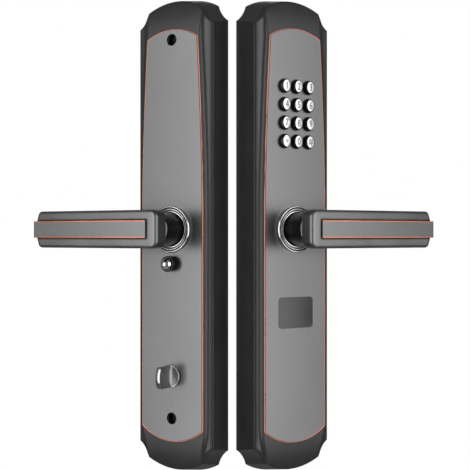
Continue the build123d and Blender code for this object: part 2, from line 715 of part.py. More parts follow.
def push_button(front):
    """Push button: domed cap on a stem, with a ring behind the collar that keeps it in."""
    cap_back = front + COLLAR_FLOOR + BUTTON_TRAVEL + BUTTON_REST
    dome_foot = front + BUTTON_OUT - BUTTON_DOME
    radius = (BUTTON_CAP ** 2 + BUTTON_DOME ** 2) / (2 * BUTTON_DOME)
    ball = Pos(0, -(front + BUTTON_OUT - radius), BUTTON_Z) * Sphere(radius)
    cap = drum(BUTTON_CAP, cap_back, dome_foot, z=BUTTON_Z)
    cap += ball & drum(BUTTON_CAP, dome_foot, front + BUTTON_OUT + 1, z=BUTTON_Z)
    stem = drum(BUTTON_STEM, keeper_back(front), cap_back, z=BUTTON_Z)
    keeper = drum(BUTTON_KEEPER, keeper_back(front), keeper_back(front) + KEEPER_THICKNESS, z=BUTTON_Z)
    return cap + stem + keeper


def button_stop(front):
    """Depth of the bracket on the plate that the push button's stem reaches at full travel."""
    return keeper_back(front) - BUTTON_TRAVEL - FIT


def button_spring(front):
    """Coil spring between the keeper ring and the bracket."""
    low, high = button_stop(front), keeper_back(front)
    wire = BUTTON_SPRING_WIRE
    rings = []
    for turn in range(BUTTON_SPRING_TURNS):
        depth = low + wire + (high - low - 2 * wire) * turn / (BUTTON_SPRING_TURNS - 1)
        plane = Plane(origin=(0, -depth, BUTTON_Z), z_dir=(0, -1, 0))
        rings.append(Solid.make_torus(BUTTON_SPRING_COIL, wire, plane))
    return Compound(rings)


def thumbturn(front):
    """Thumbturn: round base, upright blade with a crowned front, and its shaft."""
    inside = cover_inside(front)
    disc_front = front + THUMB_DISC_HEIGHT
    base = drum(THUMB_DISC, front + THUMB_FIT, disc_front, z=THUMB_Z)
    base = fillet(base.edges().filter_by(GeomType.CIRCLE).sort_by(Axis.Y)[0], THUMB_ROUND)
    edge = THUMB_BLADE_OUT - THUMB_CROWN
    side = make_face(Curve() + [
        Line((-THUMB_DISC, -0.5), (THUMB_DISC, -0.5)),
        Line((THUMB_DISC, -0.5), (THUMB_DISC, edge)),
        ThreePointArc((THUMB_DISC, edge), (0, THUMB_BLADE_OUT), (-THUMB_DISC, edge)),
        Line((-THUMB_DISC, edge), (-THUMB_DISC, -0.5)),
    ])
    upright = Plane(origin=(0, -disc_front, THUMB_Z), x_dir=(0, 0, 1), z_dir=(1, 0, 0))
    blade = extrude(upright * side, amount=THUMB_BLADE / 2, both=True)
    blade &= drum(THUMB_DISC - THUMB_ROUND, front, disc_front + THUMB_BLADE_OUT + 1, z=THUMB_Z)
    shaft = drum(THUMB_SHAFT, inside - TAIL_SOCKET, front + 1, z=THUMB_Z)
    groove_front = inside - 2 * THUMB_FIT
    groove = drum(THUMB_SHAFT + 1, groove_front - THUMB_CLIP_THICKNESS, groove_front, z=THUMB_Z)
    groove -= drum(THUMB_GROOVE, inside - TAIL_SOCKET, inside, z=THUMB_Z)
    width, height = TAIL[1] + 2 * THUMB_FIT, TAIL[0] + 2 * THUMB_FIT
    slot = block(width, height, inside - TAIL_SOCKET - 1, inside + TAIL_SOCKET, z=THUMB_Z)
    return base + blade + shaft - groove - slot


def thumb_clip(front):
    """Open clip in the shaft's groove, behind the cover."""
    inside = cover_inside(front)
    body = drum(THUMB_CLIP, inside - THUMB_CLIP_THICKNESS - THUMB_FIT, inside - 3 * THUMB_FIT, z=THUMB_Z)
    body -= drum(THUMB_GROOVE + THUMB_FIT, inside - TAIL_SOCKET, inside, z=THUMB_Z)
    return body - block(3, 8, inside - TAIL_SOCKET, inside, z=THUMB_Z - THUMB_SHAFT - 3)


def thumb_tail(front):
    """Flat tailpiece that reaches through the door to the deadbolt."""
    return block(TAIL[1], TAIL[0], -TAIL_OUT, cover_inside(front) + TAIL_SOCKET - 2 * THUMB_FIT, z=THUMB_Z)


def thumb_hole(front):
    return drum(THUMB_SHAFT + RUNNING, cover_inside(front) - 1, front + 1, z=THUMB_Z)


def cell_offset():
    """The cells' axes are this far each side of the middle."""
    return CELL_RADIUS + CELL_BETWEEN / 2


def cell_back():
    return PLATE + HOLDER_WALL + CELL_CLEAR + CELL_RADIUS


def cell_spots():
    return [(u, z) for z in CELL_Z for u in (-cell_offset(), cell_offset())]


def cell(u, z):
    """One AA cell with its raised end, which points up or down in turn."""
    up = 1 if u > 0 else -1
    axis = cell_back()
    body = Pos(u, -axis, z) * Cylinder(CELL_RADIUS, CELL_LENGTH - 1.5)
    return body + Pos(u, -axis, z + up * (CELL_LENGTH / 2 - 0.3)) * Cylinder(2.6, 1.9)


def holder_bounds():
    low = CELL_Z[0] - CELL_LENGTH / 2 - 2.0
    high = CELL_Z[1] + CELL_LENGTH / 2 + 2.0
    return low - HOLDER_WALL, high + HOLDER_WALL


def battery_holder():
    """Moulded cradle for the four cells, on the inner mounting plate."""
    low, high = holder_bounds()
    width = 2 * (cell_offset() + CELL_RADIUS + CELL_CLEAR + HOLDER_WALL)
    depth = cell_back() + 2.5
    body = block(width, high - low, PLATE, depth, z=(low + high) / 2)
    for u, z in cell_spots():
        bed = Pos(u, -cell_back(), z) * Cylinder(CELL_RADIUS + CELL_CLEAR, CELL_LENGTH + 4.0)
        mouth = block(2 * (CELL_RADIUS + CELL_CLEAR), CELL_LENGTH + 4.0, cell_back(), depth + 1, u, z)
        body -= bed + mouth
    return body


def battery_contacts():
    """Sprung contact plates at the ends of the cells."""
    plates = []
    for u, z in cell_spots():
        for end in (-1, 1):
            at = z + end * (CELL_LENGTH / 2 + 1.75)
            plates.append(block(9, 0.4, cell_back() - 4, cell_back() + 2, u, at))
    return Compound(plates)


def place_outer(shape):
    return Pos(0, 0, -SPINDLE_Z) * (Rot(0, 0, OUTER_TURN) * shape)


def place_inner(shape):
    flipped = mirror(shape, about=Plane.YZ)
    across = PAIR_GAP + HALF_WIDTH * (cos(radians(OUTER_TURN)) + cos(radians(INNER_TURN)))
    return Pos(-across, INNER_SPINDLE_Y, -SPINDLE_Z) * (Rot(0, 0, -INNER_TURN) * flipped)


def outer_unit():
    front = OUTER_BASE + TIER
    inside = cover_inside(front)
    cover = front_cover(OUTER_BASE)
    width, height, middle = keypad_size(0.6)
    cover -= block(width, height, inside - 1, front, u=KEY_CENTRE_U, z=middle)
    panel = slab(panel_sketch(), front - PANEL, front)
    panel -= drum(BEARING_RADIUS + RUNNING, 0, front + 1, z=SPINDLE_Z) + window_hole(front, FIT / 2)
    for u, z in key_spots():
        panel -= key_hole(front, u, z)
    board_top = inside - 6.0
    cover += board_posts(board_top, OUTER_BOARD_Z, inside + 0.5)
    parts = {
        "outer_base_frame": base_frame(OUTER_BASE, GASKET),
        "outer_front_cover": cover,
        "outer_face_panel": panel,
        "outer_panel_line": panel_line(front),
        "outer_mounting_plate": mounting_plate(front, BOLT_Z, STUD_RADIUS + SOCKET_CLEAR),
        "outer_door_gasket": door_gasket(),
        "outer_rose": rose(front),
        "outer_bearing": bearing(front),
        "outer_lever": lever(front),
        "outer_lever_inlay": lever_inlay(front),
        "outer_lever_lines": lever_lines(front),
        "outer_retaining_ring": retaining_ring(front),
        "outer_spring_hub": hub(front),
        "outer_return_spring": return_spring(front),
        "door_spindle": spindle(front),
        "threaded_studs": threaded_studs(),
        "keypad_mat": keypad_mat(front),
        "keypad_board": keypad_board(front),
        "card_window": card_window(front),
        "card_antenna_board": antenna_board(front),
        "outer_control_board": control_board(board_top, OUTER_BOARD_Z),
    }
    for name, (u, z) in zip(KEY_NAMES, key_spots()):
        parts["key_" + name] = key(front, u, z)
    return {name: place_outer(shape) for name, shape in parts.items()}


def inner_unit():
    front = INNER_BASE + TIER
    inside = cover_inside(front)
    cover = front_cover(INNER_BASE)
    panel = slab(panel_sketch(), front - PANEL, front)
    panel -= drum(BEARING_RADIUS + RUNNING, 0, front + 1, z=SPINDLE_Z)
    for z in BOLT_Z:
        cover += bolt_tube(front, z)
        cover -= bolt_hole(front, z)
        panel -= bolt_hole(front, z)
    holes = drum(COLLAR_BARREL + SOCKET_CLEAR, inside - 1, front + 1, z=BUTTON_Z) + thumb_hole(front)
    cover -= holes
    panel -= holes
    board_top = inside - 4.0
    cover += board_posts(board_top, INNER_BOARD_Z, inside + 0.5)
    plate = mounting_plate(front, BOLT_Z, BOLT_RADIUS)
    plate -= drum(TAIL_PLATE_HOLE, -1, PLATE + 1, z=THUMB_Z)
    plate += block(*BRACKET, PLATE - 0.5, button_stop(front), z=BUTTON_Z)
    parts = {
        "inner_base_frame": base_frame(INNER_BASE, 0),
        "inner_front_cover": cover,
        "inner_face_panel": panel,
        "inner_panel_line": panel_line(front),
        "inner_mounting_plate": plate,
        "inner_rose": rose(front),
        "inner_bearing": bearing(front),
        "inner_lever": lever(front),
        "inner_lever_inlay": lever_inlay(front),
        "inner_lever_lines": lever_lines(front),
        "inner_retaining_ring": retaining_ring(front),
        "inner_spring_hub": hub(front),
        "inner_return_spring": return_spring(front),
        "button_collar": button_collar(front),
        "push_button": push_button(front),
        "push_button_spring": button_spring(front),
        "thumbturn": thumbturn(front),
        "thumbturn_clip": thumb_clip(front),
        "thumbturn_tailpiece": thumb_tail(front),
        "battery_holder": battery_holder(),
        "battery_contacts": battery_contacts(),
        "inner_control_board": control_board(board_top, INNER_BOARD_Z),
    }
    for number, (u, z) in enumerate(cell_spots()):
        parts["battery_" + str(number + 1)] = cell(u, z)
    return {name: place_inner(shape) for name, shape in parts.items()}


both_sets = [place_outer(plate_screws()), place_inner(plate_screws())]
screws = {"plate_screws": Compound([screw for part in both_sets for screw in part.solids()])}
os.makedirs("parts", exist_ok=True)
for node, solid in {**outer_unit(), **inner_unit(), **screws}.items():
    export_step(solid, "parts/" + node + ".step")
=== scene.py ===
import json
from math import radians

import bpy
from mathutils import Matrix, Vector


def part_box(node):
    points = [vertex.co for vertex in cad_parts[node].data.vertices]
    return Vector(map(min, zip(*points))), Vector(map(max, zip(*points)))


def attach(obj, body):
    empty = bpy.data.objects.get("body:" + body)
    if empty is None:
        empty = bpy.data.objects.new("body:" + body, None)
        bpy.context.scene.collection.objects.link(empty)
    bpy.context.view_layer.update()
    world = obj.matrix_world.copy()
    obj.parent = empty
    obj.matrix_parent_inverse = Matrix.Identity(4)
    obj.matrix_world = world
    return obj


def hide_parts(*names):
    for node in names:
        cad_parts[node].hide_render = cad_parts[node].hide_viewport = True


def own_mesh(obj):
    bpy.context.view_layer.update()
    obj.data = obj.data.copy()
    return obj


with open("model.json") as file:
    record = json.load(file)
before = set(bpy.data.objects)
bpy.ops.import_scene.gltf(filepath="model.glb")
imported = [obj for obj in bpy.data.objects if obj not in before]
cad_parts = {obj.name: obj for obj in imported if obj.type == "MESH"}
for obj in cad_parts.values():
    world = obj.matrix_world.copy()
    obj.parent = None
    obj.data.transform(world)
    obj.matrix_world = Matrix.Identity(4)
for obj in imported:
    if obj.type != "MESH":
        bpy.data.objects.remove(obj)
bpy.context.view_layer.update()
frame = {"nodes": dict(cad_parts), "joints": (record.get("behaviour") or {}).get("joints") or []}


# ---- Studio
# A pale sheet lying well below the lock and swept up behind it, a level camera at half the units'
# height, and soft lights to the left, the right and behind. None of it is part of the lock.
bpy.context.scene.view_settings.view_transform = "Standard"
low_corner, high_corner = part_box("inner_base_frame")
half_height = (low_corner.z + high_corner.z) / 2

camera_data = bpy.data.cameras.new("studio_camera")
camera_data.lens = 81.65
camera_data.sensor_width = 36.0
camera = bpy.data.objects.new("studio_camera", camera_data)
camera.location = (-0.02904, -0.8506, half_height + 0.0003)
camera.rotation_euler = (radians(90), 0, 0)
bpy.context.scene.collection.objects.link(camera)
bpy.context.scene.camera = camera

bpy.ops.object.select_all(action="DESELECT")
bpy.ops.mesh.primitive_plane_add(size=1, location=(0, 0, low_corner.z - 1.3))
sweep = bpy.context.object
sweep.name = "studio_sweep"
sweep.scale = (9, 7, 1)
bpy.ops.object.transform_apply(location=True, rotation=True, scale=True)
bpy.ops.object.mode_set(mode="EDIT")
bpy.ops.mesh.select_mode(type="EDGE")
bpy.ops.mesh.select_all(action="DESELECT")
bpy.ops.object.mode_set(mode="OBJECT")
for edge in sweep.data.edges:
    edge.select = all(sweep.data.vertices[i].co.y > 0 for i in edge.vertices)
bpy.ops.object.mode_set(mode="EDIT")
bpy.ops.mesh.extrude_region_move(TRANSFORM_OT_translate={"value": (0, 0, 6)})
bpy.ops.object.mode_set(mode="OBJECT")
bend = sweep.modifiers.new("sweep_bend", "BEVEL")
bend.width = 1.5
bend.segments = 24
bpy.ops.object.modifier_apply(modifier="sweep_bend")
bpy.ops.object.shade_smooth()
sweep_paper = bpy.data.materials.new("sweep_paper")
sweep_paper.use_nodes = True
nodes, links = sweep_paper.node_tree.nodes, sweep_paper.node_tree.links
nodes["Principled BSDF"].inputs["Base Color"].default_value = (0.35, 0.35, 0.35, 1)
nodes["Principled BSDF"].inputs["Roughness"].default_value = 0.9
seen, lit = nodes.new("ShaderNodeLightPath"), nodes.new("ShaderNodeEmission")
show = nodes.new("ShaderNodeMixShader")
links.new(seen.outputs["Is Camera Ray"], show.inputs["Fac"])
links.new(nodes["Principled BSDF"].outputs["BSDF"], show.inputs[1])
links.new(lit.outputs["Emission"], show.inputs[2])
links.new(show.outputs["Shader"], nodes["Material Output"].inputs["Surface"])
sweep.data.materials.append(sweep_paper)

world = bpy.data.worlds.new("studio_room")
world.use_nodes = True
nodes, links = world.node_tree.nodes, world.node_tree.links
nodes["Background"].inputs["Color"].default_value = (1, 1, 1, 1)
seen, strength = nodes.new("ShaderNodeLightPath"), nodes.new("ShaderNodeMapRange")
strength.inputs["To Min"].default_value = 0.22
strength.inputs["To Max"].default_value = 1.0
links.new(seen.outputs["Is Camera Ray"], strength.inputs["Value"])
links.new(strength.outputs["Result"], nodes["Background"].inputs["Strength"])
bpy.context.scene.world = world


def softbox(name, place, aim, width, height, power):
    """A rectangular studio light aimed at a point."""
    light = bpy.data.lights.new(name, "AREA")
    light.shape = "RECTANGLE"
    light.size = width
    light.size_y = height
    light.energy = power
    lamp = bpy.data.objects.new(name, light)
    lamp.location = place
    lamp.rotation_euler = (Vector(aim) - Vector(place)).to_track_quat("-Z", "Y").to_euler()
    bpy.context.scene.collection.objects.link(lamp)


softbox("right_softbox", (1.26, -1.06, 0.0), (0.02, 0, 0), 1.2, 2.0, 16)
softbox("left_softbox", (-1.32, -1.06, 0.0), (-0.08, 0, 0), 1.2, 2.0, 16)
softbox("back_softbox", (-0.03, 2.0, 0.2), (-0.03, 0, 0), 2.4, 1.6, 30)


# ---- Door gasket
# A moulded rubber strip between the outer base frame and the door. It is matt black and slightly
# dusty, and is only seen from the back and the side.
def start_finish(name):
    """A new material: its material, nodes, links and shader."""
    material = bpy.data.materials.new(name)
    material.use_nodes = True
    nodes, links = material.node_tree.nodes, material.node_tree.links
    return material, nodes, links, nodes["Principled BSDF"]


def start_group(name, numbers, outputs):
    """A shader group with numbers as inputs, each with its usual value, and masks as outputs."""
    group = bpy.data.node_groups.new(name, "ShaderNodeTree")
    for label, value in numbers.items():
        socket = group.interface.new_socket(label, in_out="INPUT", socket_type="NodeSocketFloat")
        socket.default_value = value
    for label in outputs:
        group.interface.new_socket(label, in_out="OUTPUT", socket_type="NodeSocketFloat")
    start, end = group.nodes.new("NodeGroupInput"), group.nodes.new("NodeGroupOutput")
    return group, start, end


def mottle_group():
    """Slow cloudy variation over a surface, and a fine skin texture for its relief."""
    group, start, end = start_group("mottle", {"Cloud": 30.0, "Skin": 1800.0}, ("Mask", "Height"))
    nodes, links = group.nodes, group.links
    place = nodes.new("ShaderNodeTexCoord")
    for label, detail, out in (("Cloud", 3.0, "Mask"), ("Skin", 2.0, "Height")):
        noise = nodes.new("ShaderNodeTexNoise")
        noise.inputs["Detail"].default_value = detail
        links.new(place.outputs["Object"], noise.inputs["Vector"])
        links.new(start.outputs[label], noise.inputs["Scale"])
        spread = nodes.new("ShaderNodeMapRange")
        spread.inputs["From Min"].default_value = 0.3
        spread.inputs["From Max"].default_value = 0.7
        links.new(noise.outputs["Fac"], spread.inputs["Value"])
        links.new(spread.outputs["Result"], end.inputs[out])
    return group


def edge_rub_group():
    """Where handling rubs a finish: convex edges, broken up by noise."""
    group, start, end = start_group("edge_rub", {"Radius": 0.0006, "Break": 600.0}, ("Mask",))
    nodes, links = group.nodes, group.links
    rounded, flat = nodes.new("ShaderNodeBevel"), nodes.new("ShaderNodeNewGeometry")
    rounded.samples = 4
    links.new(start.outputs["Radius"], rounded.inputs["Radius"])
    compare = nodes.new("ShaderNodeVectorMath")
    compare.operation = "DOT_PRODUCT"
    links.new(rounded.outputs["Normal"], compare.inputs[0])
    links.new(flat.outputs["Normal"], compare.inputs[1])
    sharp = nodes.new("ShaderNodeMapRange")
    sharp.inputs["From Min"].default_value = 0.99
    sharp.inputs["From Max"].default_value = 0.8
    links.new(compare.outputs["Value"], sharp.inputs["Value"])
    place, noise = nodes.new("ShaderNodeTexCoord"), nodes.new("ShaderNodeTexNoise")
    links.new(place.outputs["Object"], noise.inputs["Vector"])
    links.new(start.outputs["Break"], noise.inputs["Scale"])
    broken = nodes.new("ShaderNodeMath")
    broken.operation = "MULTIPLY"
    links.new(sharp.outputs["Result"], broken.inputs[0])
    links.new(noise.outputs["Fac"], broken.inputs[1])
    links.new(broken.outputs["Value"], end.inputs["Mask"])
    return group


def placed(nodes, group, **numbers):
    """A shader group placed in a material, with its numbers set."""
    node = nodes.new("ShaderNodeGroup")
    node.node_tree = group
    for label, value in numbers.items():
        node.inputs[label].default_value = value
    return node


def blend_colours(nodes, links, mask, first, second):
    """Output that goes from one colour to another with a mask. A colour may be a socket."""
    mix = nodes.new("ShaderNodeMix")
    mix.data_type = "RGBA"
    links.new(mask, mix.inputs["Factor"])
    for slot, colour in (("A", first), ("B", second)):
        socket = [s for s in mix.inputs if s.name == slot and s.type == "RGBA"][0]
        if isinstance(colour, tuple):
            socket.default_value = (*colour, 1)
        else:
            links.new(colour, socket)
    return [s for s in mix.outputs if s.type == "RGBA"][0]


def ranged(nodes, links, mask, low, high):
    """Output that goes from one number to another with a mask."""
    spread = nodes.new("ShaderNodeMapRange")
    spread.inputs["To Min"].default_value = low
    spread.inputs["To Max"].default_value = high
    links.new(mask, spread.inputs["Value"])
    return spread.outputs["Result"]


def relief(nodes, links, shader, height, depth, strength, rounding=0.0):
    """Surface relief from a height, over edges that look rounded to a radius."""
    bump = nodes.new("ShaderNodeBump")
    if rounding:
        rounded = nodes.new("ShaderNodeBevel")
        rounded.samples = 6
        rounded.inputs["Radius"].default_value = rounding
        links.new(rounded.outputs["Normal"], bump.inputs["Normal"])
    bump.inputs["Distance"].default_value = depth
    bump.inputs["Strength"].default_value = strength
    links.new(height, bump.inputs["Height"])
    links.new(bump.outputs["Normal"], shader.inputs["Normal"])


mottle, edge_rub = mottle_group(), edge_rub_group()


def skin_finish(name, dark, light, metallic, rough, skin, depth, rubbed=None, shine=0.5, cloud=30.0,
                rounding=0.0):
    """A finish with a clouded colour, a fine skin and, if it is rubbed, brighter edges."""
    material, nodes, links, shader = start_finish(name)
    clouds = placed(nodes, mottle, Cloud=cloud, Skin=skin)
    colour = blend_colours(nodes, links, clouds.outputs["Mask"], dark, light)
    if rubbed:
        edges = placed(nodes, edge_rub)
        colour = blend_colours(nodes, links, edges.outputs["Mask"], colour, rubbed)
    links.new(colour, shader.inputs["Base Color"])
    links.new(ranged(nodes, links, clouds.outputs["Mask"], *rough), shader.inputs["Roughness"])
    shader.inputs["Metallic"].default_value = metallic
    shader.inputs["Specular IOR Level"].default_value = shine
    relief(nodes, links, shader, clouds.outputs["Height"], depth, 0.5, rounding)
    return material


def coat(material, *names):
    """Gives CAD nodes a material."""
    for name in names:
        mesh = frame["nodes"][name].data
        mesh.materials.clear()
        mesh.materials.append(material)


rubber = skin_finish("black_rubber", (0.018, 0.018, 0.018), (0.035, 0.034, 0.033), 0.0, (0.7, 0.85),
                     2500.0, 0.00004)
coat(rubber, "outer_door_gasket", "keypad_mat")


# ---- Base frames and front covers
# Zinc die-castings with a satin black plating. The frame stands on the door, and the cover with its
# hollow sides sits on the frame. The plating shows faint clouds and a little rub along the edges.
black_plating = skin_finish("black_plating", (0.022, 0.022, 0.023), (0.030, 0.030, 0.031), 0.0,
                            (0.30, 0.38), 2200.0, 0.000008, rubbed=(0.06, 0.06, 0.062), shine=0.6,
                            rounding=0.002)
cover_plating = skin_finish("cover_plating", (0.016, 0.016, 0.017), (0.022, 0.022, 0.023), 0.0,
                            (0.30, 0.36), 2200.0, 0.000008, rubbed=(0.06, 0.06, 0.062), shine=0.7,
                            rounding=0.003)
coat(black_plating, "outer_base_frame", "inner_base_frame")
coat(cover_plating, "outer_front_cover", "inner_front_cover")


# ---- Mounting plates, hubs, rings, spindle and studs
# Pressed and turned steel with a pale zinc plating: the plates that clamp frame and cover, the
# spring hubs on the levers' tails, the retaining rings, the square spindle and the threaded studs.
zinc_steel = skin_finish("zinc_plated_steel", (0.42, 0.43, 0.45), (0.58, 0.59, 0.60), 1.0,
                         (0.28, 0.45), 900.0, 0.00001, rubbed=(0.75, 0.75, 0.76), cloud=90.0)
coat(zinc_steel, "outer_mounting_plate", "inner_mounting_plate", "outer_spring_hub", "inner_spring_hub",
     "outer_retaining_ring", "inner_retaining_ring", "door_spindle", "threaded_studs",
     "thumbturn_clip", "thumbturn_tailpiece")


# ---- Face panels
# Thin steel sheets, brushed along their length and lacquered in a gunmetal tint. Each lies in a
# recess of its front cover, flush with the copper-coloured line round it.
def brush_group():
    """Brushed streaks. Turn is the piece's turn about the upright axis. Upright and Along are how
    often the streaks change upwards and along the level."""
    group, start, end = start_group("brush", {"Turn": 0.0, "Upright": 6.0, "Along": 2600.0},
                                    ("Mask", "Height"))
    nodes, links = group.nodes, group.links
    place, turn = nodes.new("ShaderNodeTexCoord"), nodes.new("ShaderNodeVectorRotate")
    turn.rotation_type = "Z_AXIS"
    links.new(place.outputs["Object"], turn.inputs["Vector"])
    links.new(start.outputs["Turn"], turn.inputs["Angle"])
    apart = nodes.new("ShaderNodeSeparateXYZ")
    links.new(turn.outputs["Vector"], apart.inputs["Vector"])
    joined = nodes.new("ShaderNodeCombineXYZ")
    for axis, label in (("X", "Along"), ("Y", "Along"), ("Z", "Upright")):
        times = nodes.new("ShaderNodeMath")
        times.operation = "MULTIPLY"
        links.new(apart.outputs[axis], times.inputs[0])
        links.new(start.outputs[label], times.inputs[1])
        links.new(times.outputs["Value"], joined.inputs[axis])
    streaks = nodes.new("ShaderNodeTexNoise")
    streaks.inputs["Scale"].default_value = 1.0
    streaks.inputs["Detail"].default_value = 3.0
    links.new(joined.outputs["Vector"], streaks.inputs["Vector"])
    spread = nodes.new("ShaderNodeMapRange")
    spread.inputs["From Min"].default_value = 0.3
    spread.inputs["From Max"].default_value = 0.7
    links.new(streaks.outputs["Fac"], spread.inputs["Value"])
    links.new(spread.outputs["Result"], end.inputs["Mask"])
    links.new(spread.outputs["Result"], end.inputs["Height"])
    return group


brush = brush_group()


def brushed_finish(name, dark, light, rough, turn, upright, along, depth):
    """Brushed metal: streaks in colour, gloss and relief, over slow clouds."""
    material, nodes, links, shader = start_finish(name)
    streaks = placed(nodes, brush, Turn=turn, Upright=upright, Along=along)
    clouds = placed(nodes, mottle, Cloud=18.0)
    base = blend_colours(nodes, links, clouds.outputs["Mask"], dark, light)
    streaked = blend_colours(nodes, links, streaks.outputs["Mask"], base, light)
    links.new(streaked, shader.inputs["Base Color"])
    links.new(ranged(nodes, links, streaks.outputs["Mask"], *rough), shader.inputs["Roughness"])
    shader.inputs["Metallic"].default_value = 1.0
    relief(nodes, links, shader, streaks.outputs["Height"], depth, 0.4)
    return material


panel_finish = brushed_finish("brushed_gunmetal", (0.185, 0.185, 0.187), (0.21, 0.21, 0.212),
                              (0.27, 0.34), 0.0, 8.0, 2600.0, 0.000006)
coat(panel_finish, "outer_face_panel", "inner_face_panel")


# ---- Copper-coloured lines
# Narrow extruded trims in polished copper plating: one round each face panel, and one above and one
# below the inlay of each lever, pressed into their grooves.
copper = skin_finish("copper_plating", (0.66, 0.24, 0.15), (0.76, 0.30, 0.19), 0.85, (0.24, 0.36), 1500.0,
                     0.000006)
coat(copper, "outer_lever_lines", "inner_lever_lines")
MM = 0.001
joints = {joint["name"]: joint for joint in frame["joints"]}
FACE_DEPTH = {"outer": 0.0325, "inner": 0.0280}
BEAD_INSET = 0.24       # how far inside its edges a panel line's raised strip begins
BEAD_LOWERED = 0.45     # how far the line's edges lie below the strip
SAME_PLANE = 0.02       # faces and corners nearer the front than this count as the front


def unit_axes(unit):
    """Foot of a unit's spindle on the door face, the way to the right and the way out of the door."""
    joint = joints[unit + "_lever_turn"]
    out = Vector(joint["axis"]) * (-1 if unit == "outer" else 1)
    right = Vector((0, 0, 1)).cross(out)
    return Vector(joint["pos_m"]), right, out


def settle(piece, place, material, body, slot, *nodes):
    """Sets a finished piece in place, gives it its finish, hangs it on the body it rides on and hides the
    CAD nodes it stands for.
    """
    piece.data.transform(place)
    if material:
        piece.data.materials.append(material)
    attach(piece, body)
    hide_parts(*nodes)


def looked_like(node, name, flatten=True):
    """A copy of a CAD node's shape as a merged mesh, to be worked on as a new piece."""
    mesh = frame["nodes"][node].data.copy()
    mesh.materials.clear()
    mesh.name = name
    piece = bpy.data.objects.new(name, mesh)
    bpy.context.scene.collection.objects.link(piece)
    bpy.ops.object.select_all(action="DESELECT")
    piece.select_set(True)
    bpy.context.view_layer.objects.active = piece
    bpy.ops.object.mode_set(mode="EDIT")
    bpy.ops.mesh.select_all(action="SELECT")
    bpy.ops.mesh.remove_doubles(threshold=0.000001)
    if flatten:
        bpy.ops.mesh.dissolve_limited(angle_limit=radians(0.5))
    bpy.ops.mesh.customdata_custom_splitnormals_clear()
    bpy.ops.object.mode_set(mode="OBJECT")
    return piece


for unit in ("outer", "inner"):
    line = looked_like(unit + "_panel_line", unit + "_panel_bead", flatten=False)
    foot, _, outward = unit_axes(unit)
    front = max((vertex.co - foot).dot(outward) for vertex in line.data.vertices)
    bpy.ops.object.mode_set(mode="EDIT")
    bpy.ops.mesh.select_mode(type="FACE")
    bpy.ops.mesh.select_all(action="DESELECT")
    bpy.ops.object.mode_set(mode="OBJECT")
    for polygon in line.data.polygons:
        near = front - (Vector(polygon.center) - foot).dot(outward) < SAME_PLANE * MM
        polygon.select = near and polygon.normal.dot(outward) > 0.9
    bpy.ops.object.mode_set(mode="EDIT")
    bpy.ops.mesh.inset(thickness=BEAD_INSET * MM, depth=0)
    bpy.ops.object.mode_set(mode="OBJECT")
    for vertex in line.data.vertices:
        if not vertex.select and front - (vertex.co - foot).dot(outward) < SAME_PLANE * MM:
            vertex.co -= outward * BEAD_LOWERED * MM
    bpy.ops.object.shade_smooth_by_angle(angle=radians(70))
    settle(line, Matrix.Identity(4), copper, "housings", "copper_line", unit + "_panel_line")


# ---- Levers
# Hollow zinc castings: a round neck flared into a flat bar, satin gunmetal, with a channel along the
# front. Hands polish the edges, so those are a little brighter.
lever_metal = skin_finish("lever_gunmetal", (0.19, 0.19, 0.192), (0.22, 0.22, 0.222), 1.0,
                          (0.30, 0.38), 1600.0, 0.000008, rubbed=(0.30, 0.30, 0.302), cloud=45.0,
                          rounding=0.0022)
# The same gunmetal made much darker for the neck: painted shade under the bar, near the panel.
neck_painted_shade_metal = skin_finish("neck_gunmetal_painted_shade", (0.040, 0.040, 0.041), (0.050, 0.050, 0.051), 1.0,
                         (0.26, 0.34), 1600.0, 0.000008, cloud=45.0)


def seat(unit, right=0.0, up=0.0, out=0.0):
    """Matrix that sets a piece drawn face on, with its depth along Z, onto a unit. Right and up are
    from the spindle, and out is from the panel's front."""
    foot, across, outward = unit_axes(unit)
    spot = foot + across * right + Vector((0, 0, up)) + outward * (FACE_DEPTH[unit] + out)
    return Matrix.Translation(spot) @ Matrix((across, (0, 0, 1), outward)).transposed().to_4x4()


def reach(node, unit):
    """Least and most right, up and out of a CAD node, as seat takes them."""
    foot, across, outward = unit_axes(unit)
    spots = [vertex.co - foot for vertex in frame["nodes"][node].data.vertices]
    ways = [[spot.dot(across) for spot in spots], [spot.z for spot in spots],
            [spot.dot(outward) - FACE_DEPTH[unit] for spot in spots]]
    return [(min(way), max(way)) for way in ways]


def fused(piece, cutter, work):
    """Cuts or joins one closed piece with another, which is used up."""
    bpy.context.view_layer.objects.active = piece
    step = piece.modifiers.new(work.lower(), "BOOLEAN")
    step.operation = work
    step.object = cutter
    step.use_self = True
    bpy.ops.object.modifier_apply(modifier=step.name)
    bpy.data.objects.remove(cutter)


